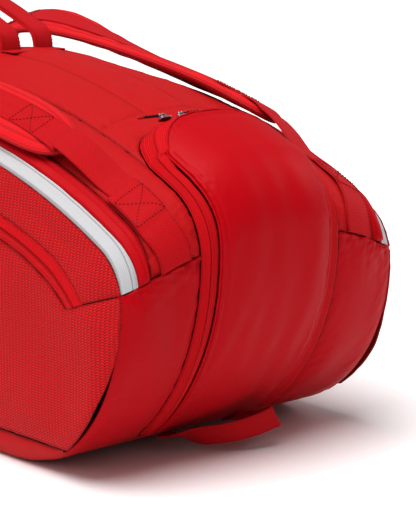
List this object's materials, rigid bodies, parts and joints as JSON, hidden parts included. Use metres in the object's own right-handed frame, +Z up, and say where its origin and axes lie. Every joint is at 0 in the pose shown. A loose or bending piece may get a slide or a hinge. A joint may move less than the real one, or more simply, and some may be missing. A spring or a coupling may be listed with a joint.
{
  "type": "racket tournament bag",
  "caption": "Long soft racket bag with arched lobes, a zipped fold-down end flap, white-zipped side compartments, mesh pockets, shoulder straps, carry handles and end loops.",
  "frame": {"origin": "bottom centre of the bag, on the plane it rests on, at mid length and mid width", "axes": "+X right, +Y along the bag away from the flap end, +Z up"},
  "size_m": [0.3932, 0.7679, 0.4272],
  "materials": {
    "red_smooth": "smooth coated woven polyester",
    "red_satin": "satin sheen",
    "red_mesh": "coarse woven, faintly glossy",
    "red_webbing": "ribbed webbing",
    "red_zip_tape": "woven tape over a coil zip",
    "white_zip_tape": "woven tape over a coil zip",
    "strap_padding": "air mesh over foam",
    "grey_lining": "plain lining over thin foam",
    "slider_metal": "dull nickel",
    "pull_cord": "braided cord with a moulded tip",
    "black_board": "stiff board"
  },
  "bodies": {
    "bag": {"base_panel": "red_smooth", "base_board": "black_board", "left_divider": "grey_lining", "right_divider": "grey_lining", "top_panel": "red_smooth", "left_shoulder_panel": "red_smooth", "right_shoulder_panel": "red_smooth", "left_rain_flap": "red_smooth", "right_rain_flap": "red_smooth", "left_racket_zip_tape": "white_zip_tape", "right_racket_zip_tape": "white_zip_tape", "near_left_end_panel": "red_satin", "near_right_end_panel": "red_satin", "far_left_end_panel": "red_satin", "far_right_end_panel": "red_satin", "far_centre_end_panel": "red_satin", "end_flap_foot": "red_satin", "flap_zip_tape": "red_zip_tape", "near_left_mesh_end": "red_mesh", "near_right_mesh_end": "red_mesh", "far_left_mesh_end": "red_mesh", "far_right_mesh_end": "red_mesh", "near_left_strap_anchor": "red_webbing", "near_right_strap_anchor": "red_webbing", "far_left_strap_anchor": "red_webbing", "far_right_strap_anchor": "red_webbing", "left_handle_tabs": "red_webbing", "right_handle_tabs": "red_webbing"},
    "end_flap": {"end_flap": "red_satin"},
    "left_side": {"left_upper_mesh": "red_mesh", "left_pocket_zip_tape": "red_zip_tape", "left_pocket_back": "grey_lining"},
    "left_pocket": {"left_pocket_front": "red_mesh"},
    "left_racket_slider": {"left_racket_slider": "slider_metal"},
    "left_racket_pull": {"left_racket_pull": "pull_cord"},
    "left_pocket_slider": {"left_pocket_slider": "slider_metal"},
    "left_pocket_pull": {"left_pocket_pull": "pull_cord"},
    "left_flap_slider": {"left_flap_slider": "slider_metal"},
    "left_flap_pull": {"left_flap_pull": "pull_cord"},
    "left_strap": {"left_strap_pad": "strap_padding", "left_strap_webbing": "red_webbing"},
    "left_handle": {"left_carry_handle": "red_webbing"},
    "right_side": {"right_upper_mesh": "red_mesh", "right_pocket_zip_tape": "red_zip_tape", "right_pocket_back": "grey_lining"},
    "right_pocket": {"right_pocket_front": "red_mesh"},
    "right_racket_slider": {"right_racket_slider": "slider_metal"},
    "right_racket_pull": {"right_racket_pull": "pull_cord"},
    "right_pocket_slider": {"right_pocket_slider": "slider_metal"},
    "right_pocket_pull": {"right_pocket_pull": "pull_cord"},
    "right_flap_slider": {"right_flap_slider": "slider_metal"},
    "right_flap_pull": {"right_flap_pull": "pull_cord"},
    "right_strap": {"right_strap_pad": "strap_padding", "right_strap_webbing": "red_webbing"},
    "right_handle": {"right_carry_handle": "red_webbing"},
    "near_loop": {"near_grab_loop": "red_webbing"},
    "far_loop": {"far_grab_loop": "red_webbing"}
  },
  "joints": [
    {"name": "end_flap_fold", "type": "hinge", "parent": "bag", "child": "end_flap", "pos_m": [0, -0.3585, 0.1065], "axis": [1, 0, 0], "range_deg": [0, 95]},
    {"name": "left_side_opening", "type": "hinge", "parent": "bag", "child": "left_side", "pos_m": [-0.1795, 0, 0.03], "axis": [0, -1, 0], "range_deg": [0, 22]},
    {"name": "left_pocket_opening", "type": "hinge", "parent": "left_side", "child": "left_pocket", "pos_m": [-0.1795, 0, 0.03], "axis": [0, -1, 0], "range_deg": [0, 12]},
    {"name": "left_racket_zip_run", "type": "hinge", "parent": "bag", "child": "left_racket_slider", "pos_m": [-0.17, 0, -0.382], "axis": [1, 0, 0], "range_deg": [0, 50]},
    {"name": "left_racket_pull_swing", "type": "hinge", "parent": "left_racket_slider", "child": "left_racket_pull", "pos_m": [-0.17297, 0.30048, 0.26239], "axis": [-0.8202, -0.2418, -0.5185], "range_deg": [0, 150]},
    {"name": "left_pocket_zip_run", "type": "hinge", "parent": "left_side", "child": "left_pocket_slider", "pos_m": [-0.18919, 0, -0.438], "axis": [1, 0, 0], "range_deg": [0, 38]},
    {"name": "left_pocket_pull_swing", "type": "hinge", "parent": "left_pocket_slider", "child": "left_pocket_pull", "pos_m": [-0.19439, 0.2279, 0.22386], "axis": [0, -0.3256, -0.9455], "range_deg": [0, 150]},
    {"name": "left_flap_zip_run", "type": "slide", "parent": "bag", "child": "left_flap_slider", "axis": [-1, 0, 0], "range_m": [0, 0.006]},
    {"name": "left_flap_pull_swing", "type": "hinge", "parent": "left_flap_slider", "child": "left_flap_pull", "pos_m": [-0.044, -0.26594, 0.33904], "axis": [0, 0.7532, -0.6578], "range_deg": [0, 120]},
    {"name": "left_strap_lift", "type": "hinge", "parent": "bag", "child": "left_strap", "pos_m": [-0.13, 0.3, 0.286], "axis": [-1, 0, 0], "range_deg": [0, 6]},
    {"name": "left_handle_fold", "type": "hinge", "parent": "bag", "child": "left_handle", "pos_m": [-0.022, 0.092, 0.3762], "axis": [0, -1, 0], "range_deg": [-8, 60]},
    {"name": "right_side_opening", "type": "hinge", "parent": "bag", "child": "right_side", "pos_m": [0.1795, 0, 0.03], "axis": [0, 1, 0], "range_deg": [0, 22]},
    {"name": "right_pocket_opening", "type": "hinge", "parent": "right_side", "child": "right_pocket", "pos_m": [0.1795, 0, 0.03], "axis": [0, 1, 0], "range_deg": [0, 12]},
    {"name": "right_racket_zip_run", "type": "hinge", "parent": "bag", "child": "right_racket_slider", "pos_m": [0.17, 0, -0.382], "axis": [1, 0, 0], "range_deg": [0, 50]},
    {"name": "right_racket_pull_swing", "type": "hinge", "parent": "right_racket_slider", "child": "right_racket_pull", "pos_m": [0.17297, 0.30048, 0.26239], "axis": [-0.8202, 0.2418, 0.5185], "range_deg": [0, 150]},
    {"name": "right_pocket_zip_run", "type": "hinge", "parent": "right_side", "child": "right_pocket_slider", "pos_m": [0.18919, 0, -0.438], "axis": [1, 0, 0], "range_deg": [0, 38]},
    {"name": "right_pocket_pull_swing", "type": "hinge", "parent": "right_pocket_slider", "child": "right_pocket_pull", "pos_m": [0.19439, 0.2279, 0.22386], "axis": [0, 0.3256, 0.9455], "range_deg": [0, 150]},
    {"name": "right_flap_zip_run", "type": "slide", "parent": "bag", "child": "right_flap_slider", "axis": [1, 0, 0], "range_m": [0, 0.072]},
    {"name": "right_flap_pull_swing", "type": "hinge", "parent": "right_flap_slider", "child": "right_flap_pull", "pos_m": [-0.022, -0.26594, 0.33904], "axis": [0, -0.7532, 0.6578], "range_deg": [0, 120]},
    {"name": "right_strap_lift", "type": "hinge", "parent": "bag", "child": "right_strap", "pos_m": [0.13, 0.3, 0.286], "axis": [-1, 0, 0], "range_deg": [0, 6]},
    {"name": "right_handle_fold", "type": "hinge", "parent": "bag", "child": "right_handle", "pos_m": [0.022, 0.092, 0.3762], "axis": [0, 1, 0], "range_deg": [-8, 60]},
    {"name": "near_loop_swing", "type": "hinge", "parent": "bag", "child": "near_loop", "pos_m": [0, -0.28, 0.0126], "axis": [-1, 0, 0], "range_deg": [0, 10]},
    {"name": "far_loop_swing", "type": "hinge", "parent": "bag", "child": "far_loop", "pos_m": [0, 0.28, 0.0126], "axis": [1, 0, 0], "range_deg": [0, 10]}
  ]
}
